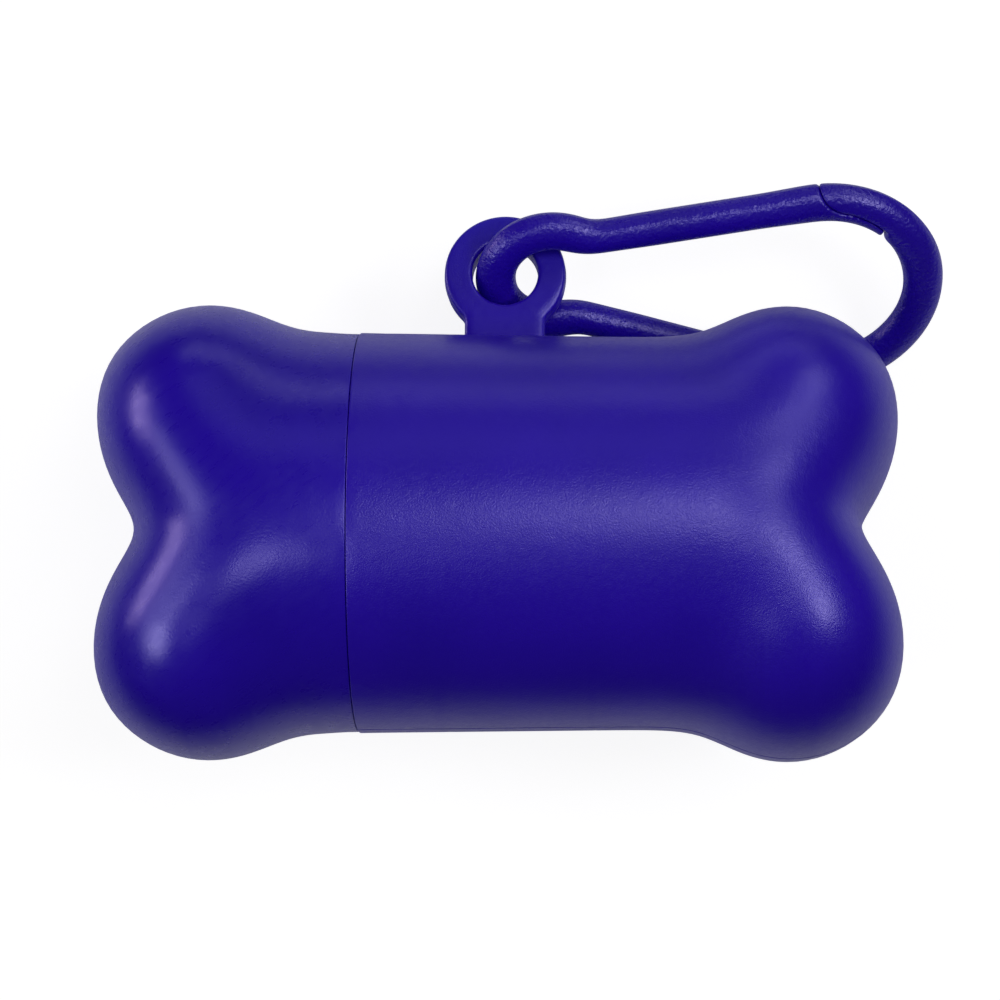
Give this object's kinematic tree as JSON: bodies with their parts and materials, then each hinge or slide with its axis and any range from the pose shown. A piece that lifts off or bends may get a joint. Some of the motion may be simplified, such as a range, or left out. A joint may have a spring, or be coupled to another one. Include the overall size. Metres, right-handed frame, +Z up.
{
  "type": "pet waste bag dispenser",
  "caption": "Bone-shaped dispenser for a roll of pet waste bags, with a pull-off end cap, a slot, an eyelet and a plastic spring-gate clip that hangs it from a lead.",
  "frame": {"origin": "middle of the object's box, on the table plane that it lies on", "axes": "+X along the bone, from the cap towards the closed end; +Y across the table towards the eyelet; +Z up from the table"},
  "size_m": [0.087, 0.059, 0.0406],
  "materials": {
    "shell_plastic": "deep blue moulded plastic with a satin surface",
    "clip_plastic": "deep blue moulded plastic with a fine pitted sheen",
    "cardboard": "plain grey-brown rolled card",
    "bag_film": "thin dark film wound tight, softly glossy"
  },
  "bodies": {
    "body": {"body_shell": "shell_plastic"},
    "cap": {"cap_shell": "shell_plastic"},
    "clip": {"clip_frame": "clip_plastic"},
    "gate": {"clip_gate": "clip_plastic"},
    "roll": {"roll_core": "cardboard", "bag_roll": "bag_film"}
  },
  "joints": [
    {"name": "cap_pull", "type": "slide", "parent": "body", "child": "cap", "axis": [-1, 0, 0], "range_m": [0, 0.04]},
    {"name": "clip_swing", "type": "hinge", "parent": "body", "child": "clip", "pos_m": [-0.00228, 0.02011, 0.01324], "axis": [0, 0.2571, 0.9664], "range_deg": [0, 170]},
    {"name": "gate_flex", "type": "hinge", "parent": "clip", "child": "gate", "pos_m": [0.00772, 0.02415, 0.01572], "axis": [-0.0831, 0.6472, -0.7578], "range_deg": [0, 20], "stiffness_Nm_per_rad": 0.4},
    {"name": "roll_spin", "type": "hinge", "parent": "body", "child": "roll", "pos_m": [-0.00283, -0.00642, 0.01848], "axis": [1, 0, 0], "continuous": true}
  ]
}
